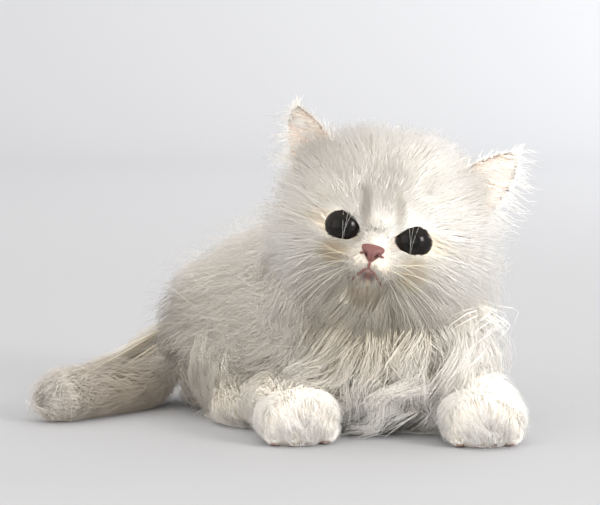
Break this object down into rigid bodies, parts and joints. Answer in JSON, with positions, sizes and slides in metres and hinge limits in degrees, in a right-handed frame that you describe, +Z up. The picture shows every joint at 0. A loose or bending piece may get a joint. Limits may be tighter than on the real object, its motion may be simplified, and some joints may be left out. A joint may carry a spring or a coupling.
{
  "type": "persian kitten model",
  "caption": "Life-size still model of a white Persian kitten lying on its chest, head raised and tilted, forepaws stretched forward, bushy tail laid out on the floor.",
  "frame": {"origin": "middle of the footprint, on the floor that the kitten lies on", "axes": "+Z up, the kitten faces -Y, +X is its own left side"},
  "size_m": [0.2294, 0.1816, 0.1518],
  "materials": {
    "coat": "long soft fur, white with cream shading",
    "nose_leather": "bare pink-brown nose skin, slightly moist",
    "eye": "dark glossy eye"
  },
  "bodies": {
    "root": {"head": "coat", "lower_jaw": "coat", "nose": "nose_leather", "eye_right": "eye", "eye_left": "eye", "ear_right": "coat", "ear_left": "coat", "neck": "coat", "chest": "coat", "torso": "coat", "rump": "coat", "foreleg_right": "coat", "forepaw_right": "coat", "thigh_right": "coat", "hindpaw_right": "coat", "foreleg_left": "coat", "forepaw_left": "coat", "thigh_left": "coat", "hindpaw_left": "coat", "tail_base": "coat", "tail_middle": "coat", "tail_tip": "coat"}
  },
  "joints": []
}
